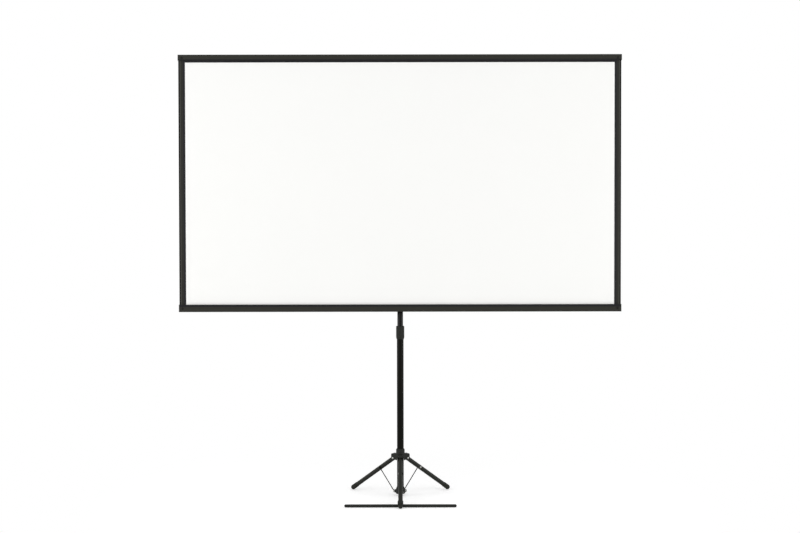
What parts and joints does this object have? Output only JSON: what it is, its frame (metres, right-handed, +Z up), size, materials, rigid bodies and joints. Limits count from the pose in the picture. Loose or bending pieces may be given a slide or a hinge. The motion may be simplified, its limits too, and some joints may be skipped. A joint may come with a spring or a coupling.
{
  "type": "pull up projection screen",
  "caption": "Pull up projection screen: a low case with a spring roller, bordered fabric, a top bar on telescopic rods, and a folding tripod.",
  "frame": {"origin": "on the floor under the middle of the whole object", "axes": "+Z up, +X to the right as seen by the audience, and the screen faces -Y"},
  "size_m": [1.826, 0.3697, 1.8305],
  "materials": {
    "charcoal_anodised": "satin charcoal anodised extrusion",
    "moulded_black": "moulded ABS, fine matt texture",
    "matte_grey_nylon": "moulded glass-filled nylon, matt",
    "black_powder_coat": "fine black powder coat on steel",
    "black_mast": "smooth black stove enamel on steel tube",
    "polished_black": "gloss black enamel on steel tube",
    "zinc": "bright zinc or nickel plate",
    "black_oxide": "black oxide on steel",
    "rubber": "moulded black rubber",
    "white_screen": "matt white coated screen fabric",
    "roller_steel": "plain drawn tube",
    "spring_steel": "plain spring steel",
    "clear_plastic": "plain extruded or moulded plastic"
  },
  "bodies": {
    "mast_base": {"lower_mast": "black_mast", "lower_collar": "matte_grey_nylon", "mast_collet": "clear_plastic", "brace_pin_front": "zinc", "brace_pin_left": "zinc", "brace_pin_right": "zinc"},
    "collar": {"twist_collar": "matte_grey_nylon"},
    "hub": {"leg_hub": "matte_grey_nylon", "leg_pin_front": "zinc", "leg_pin_left": "zinc", "leg_pin_right": "zinc"},
    "knob": {"hub_knob": "moulded_black"},
    "front_leg": {"leg_front": "black_powder_coat", "foot_cap_front": "rubber", "leg_rivet_front": "zinc", "wing_saddle": "matte_grey_nylon", "wing_pin_left": "black_oxide", "wing_pin_right": "black_oxide"},
    "right_leg": {"leg_right": "black_powder_coat", "foot_cap_right": "rubber", "leg_rivet_right": "zinc"},
    "left_leg": {"leg_left": "black_powder_coat", "foot_cap_left": "rubber", "leg_rivet_left": "zinc"},
    "front_brace": {"brace_front": "black_powder_coat"},
    "right_brace": {"brace_right": "black_powder_coat"},
    "left_brace": {"brace_left": "black_powder_coat"},
    "right_wing": {"wing_right": "matte_grey_nylon"},
    "left_wing": {"wing_left": "matte_grey_nylon"},
    "case": {"middle_mast": "polished_black", "lower_rod_bush": "matte_grey_nylon", "case_bracket": "matte_grey_nylon", "bracket_screw_left": "black_oxide", "bracket_screw_right": "black_oxide", "case_body": "charcoal_anodised", "case_left_cap": "moulded_black", "case_right_cap": "moulded_black", "case_left_screw": "black_oxide", "case_right_screw": "black_oxide", "roller_arbor": "zinc", "roller_gudgeon": "zinc", "screen_fabric": "white_screen"},
    "roller": {"roller_tube": "roller_steel", "roller_plug_left": "matte_grey_nylon", "roller_plug_right": "matte_grey_nylon", "fabric_wrap": "white_screen", "roller_spring": "spring_steel"},
    "rod": {"lower_rod": "polished_black", "upper_rod_bush": "matte_grey_nylon"},
    "bar": {"upper_rod": "polished_black", "bar_hanger": "matte_grey_nylon", "hanger_screw_left": "black_oxide", "hanger_screw_right": "black_oxide", "top_bar": "charcoal_anodised", "bar_left_cap": "moulded_black", "bar_right_cap": "moulded_black", "bar_left_screw": "black_oxide", "bar_right_screw": "black_oxide", "keder_rod": "clear_plastic"}
  },
  "joints": [
    {"name": "collar_twist", "type": "hinge", "parent": "mast_base", "child": "collar", "pos_m": [0, 0.05839, 0.69], "axis": [0, 0, 1], "range_deg": [0, 90]},
    {"name": "hub_slide", "type": "slide", "parent": "mast_base", "child": "hub", "axis": [0, 0, 1], "range_m": [0, 0.0553]},
    {"name": "knob_turn", "type": "hinge", "parent": "hub", "child": "knob", "pos_m": [0, 0.07639, 0.18446], "axis": [0, 1, 0], "range_deg": [0, 360]},
    {"name": "front_leg_fold", "type": "hinge", "parent": "hub", "child": "front_leg", "pos_m": [0, 0.02839, 0.15576], "axis": [1, 0, 0], "range_deg": [0, 50.21]},
    {"name": "front_brace_fold", "type": "hinge", "parent": "mast_base", "child": "front_brace", "pos_m": [0, 0.03487, 0.0175], "axis": [-1, 0, 0], "range_deg": [0, 31.27]},
    {"name": "right_wing_fold", "type": "hinge", "parent": "front_leg", "child": "right_wing", "pos_m": [0.0203, -0.15465, 0.0063], "axis": [0, -0.585, 0.8111], "range_deg": [0, 90]},
    {"name": "left_wing_fold", "type": "hinge", "parent": "front_leg", "child": "left_wing", "pos_m": [-0.0203, -0.15465, 0.0063], "axis": [0, 0.585, -0.8111], "range_deg": [0, 90]},
    {"name": "right_leg_fold", "type": "hinge", "parent": "hub", "child": "right_leg", "pos_m": [0.02598, 0.07339, 0.15576], "axis": [-0.5, 0.866, 0], "range_deg": [0, 50.21]},
    {"name": "right_brace_fold", "type": "hinge", "parent": "mast_base", "child": "right_brace", "pos_m": [0.02037, 0.07015, 0.0175], "axis": [0.5, -0.866, 0], "range_deg": [0, 31.27]},
    {"name": "left_leg_fold", "type": "hinge", "parent": "hub", "child": "left_leg", "pos_m": [-0.02598, 0.07339, 0.15576], "axis": [-0.5, -0.866, 0], "range_deg": [0, 50.21]},
    {"name": "left_brace_fold", "type": "hinge", "parent": "mast_base", "child": "left_brace", "pos_m": [-0.02037, 0.07015, 0.0175], "axis": [0.5, 0.866, 0], "range_deg": [0, 31.27]},
    {"name": "mast_slide", "type": "slide", "parent": "mast_base", "child": "case", "axis": [0, 0, 1], "range_m": [-0.0613, 0.2]},
    {"name": "lower_rod_slide", "type": "slide", "parent": "case", "child": "rod", "axis": [0, 0, 1], "range_m": [-0.5016, 0], "deforming": ["screen_fabric"]},
    {"name": "upper_rod_slide", "type": "slide", "parent": "rod", "child": "bar", "axis": [0, 0, 1], "range_m": [-0.5016, 0]},
    {"name": "roller_spin", "type": "hinge", "parent": "case", "child": "roller", "pos_m": [0, 0.02139, 0.78725], "axis": [1, 0, 0], "range_deg": [0, 5399]}
  ],
  "couplings": [
    {"joint": "front_leg_fold", "follows": "hub_slide", "rad_per_m": 15.844},
    {"joint": "front_brace_fold", "follows": "hub_slide", "rad_per_m": 9.866},
    {"joint": "right_leg_fold", "follows": "hub_slide", "rad_per_m": 15.844},
    {"joint": "right_brace_fold", "follows": "hub_slide", "rad_per_m": 9.866},
    {"joint": "left_leg_fold", "follows": "hub_slide", "rad_per_m": 15.844},
    {"joint": "left_brace_fold", "follows": "hub_slide", "rad_per_m": 9.866},
    {"joint": "upper_rod_slide", "follows": "lower_rod_slide", "ratio": 1},
    {"joint": "roller_spin", "follows": "lower_rod_slide", "rad_per_m": -187.81}
  ]
}
